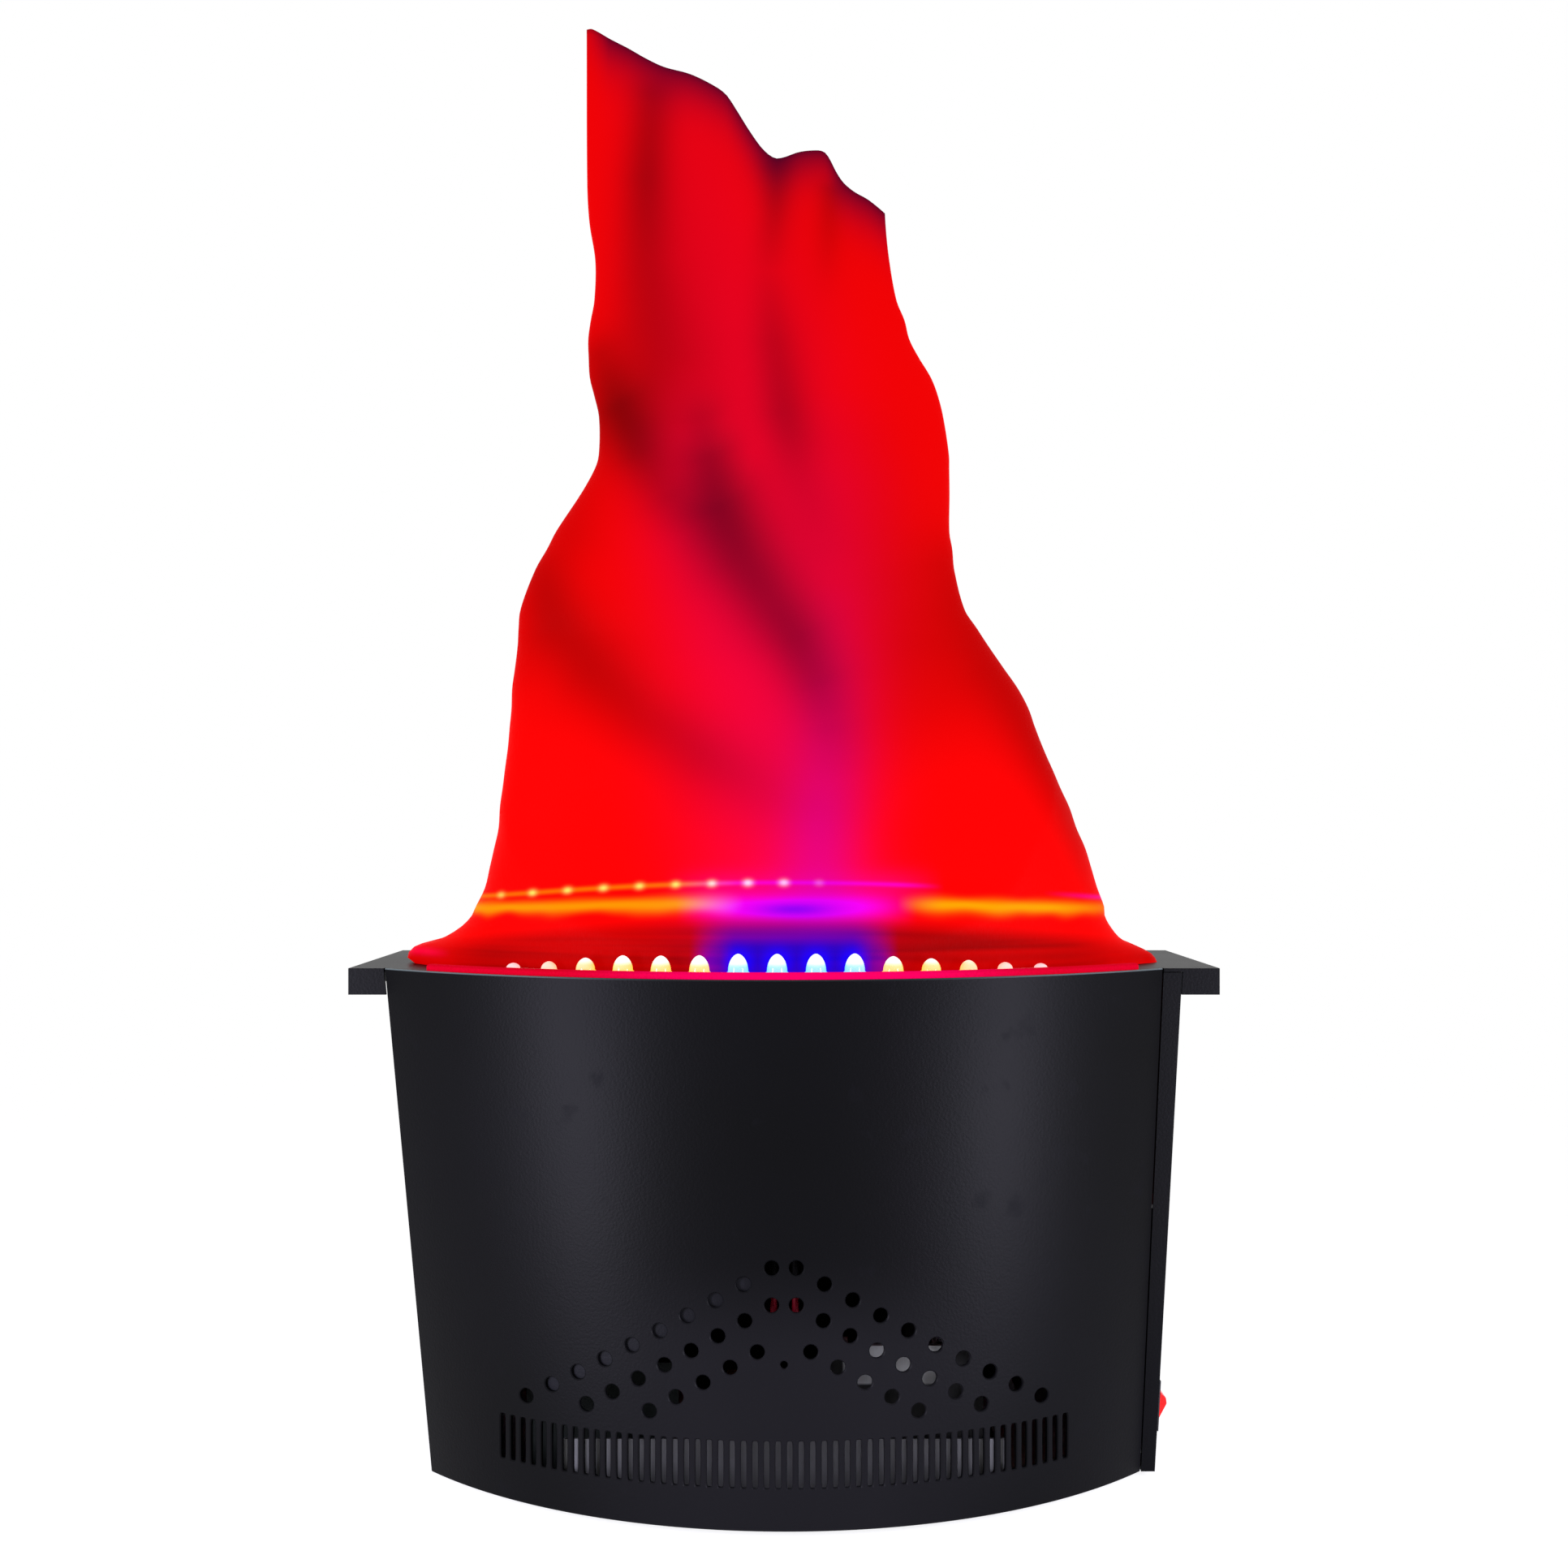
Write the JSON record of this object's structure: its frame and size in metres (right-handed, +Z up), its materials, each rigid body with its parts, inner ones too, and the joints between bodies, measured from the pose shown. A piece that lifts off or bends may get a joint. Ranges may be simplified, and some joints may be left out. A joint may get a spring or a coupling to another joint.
{
  "type": "silk flame effect light",
  "caption": "Tapered black steel box with a bowed front, side wings and vents; an upright fan inside blows a red silk flame up from its open rim between rows of lamps.",
  "frame": {"origin": "middle of the box in plan, on the surface that the feet stand on", "axes": "+Z up along the flame, the bowed front faces -Y, +X is towards the side with the switch"},
  "size_m": [0.362, 0.1624, 0.61],
  "materials": {
    "black_paint": "satin black powder coat on folded steel",
    "rubber": "matt moulded rubber",
    "red_tape": "woven red touch tape",
    "white_board": "white solder resist with clear lamp lenses",
    "zinc_steel": "zinc plated",
    "red_silk": "thin red silk lit from inside",
    "black_plastic": "fine moulded grain",
    "bright_steel": "bright plated",
    "red_plastic": "glossy translucent red",
    "green_board": "green solder resist",
    "yellow_tape": "yellow winding tape",
    "aluminium": "plain extruded aluminium",
    "grey_plastic": "moulded grey",
    "red_lead": "smooth lead sleeve",
    "brown_lead": "smooth lead sleeve",
    "blue_lead": "smooth lead sleeve",
    "grey_lead": "smooth lead sleeve"
  },
  "bodies": {
    "housing": {"front_cover": "black_paint", "rear_chassis": "black_paint", "top_deck": "black_paint", "bottom_plate": "black_paint", "foot_front_left": "rubber", "foot_front_right": "rubber", "foot_rear_left": "rubber", "foot_rear_right": "rubber", "touch_tape": "red_tape", "front_light_board": "white_board", "silk_collar": "zinc_steel", "rear_light_bracket": "black_paint", "rear_light_board": "white_board", "silk_flame": "red_silk", "fan_shelf": "zinc_steel", "fan_frame": "black_plastic", "fan_bearing": "bright_steel", "fan_stator": "zinc_steel", "fan_guard": "bright_steel", "fan_screw_1": "zinc_steel", "fan_screw_2": "zinc_steel", "fan_screw_3": "zinc_steel", "fan_screw_4": "zinc_steel", "switch_body": "black_plastic", "mains_inlet": "black_plastic", "inlet_screw_left": "zinc_steel", "inlet_screw_right": "zinc_steel", "standoff_1": "zinc_steel", "standoff_2": "zinc_steel", "standoff_3": "zinc_steel", "standoff_4": "zinc_steel", "supply_board": "green_board", "transformer": "yellow_tape", "heat_sink": "aluminium", "capacitor_1": "black_plastic", "capacitor_2": "black_plastic", "terminal_block": "grey_plastic", "earth_screw": "zinc_steel", "driver_bracket": "zinc_steel", "driver_board": "green_board", "lead_fan_left": "red_lead", "lead_fan_right": "red_lead", "lead_live": "brown_lead", "lead_switched": "brown_lead", "lead_neutral": "blue_lead", "lead_earth": "grey_lead", "lead_front_light": "grey_lead", "lead_rear_light": "grey_lead", "lead_supply": "grey_lead"},
    "impeller": {"fan_impeller": "black_plastic"},
    "rocker": {"switch_rocker": "red_plastic"}
  },
  "joints": [
    {"name": "fan_spin", "type": "hinge", "parent": "housing", "child": "impeller", "pos_m": [0, 0.01575, 0.13], "axis": [0, 0, 1], "continuous": true},
    {"name": "rocker_press", "type": "hinge", "parent": "housing", "child": "rocker", "pos_m": [0.15238, -0.00725, 0.02816], "axis": [0, 1, 0], "range_deg": [0, 20]}
  ]
}
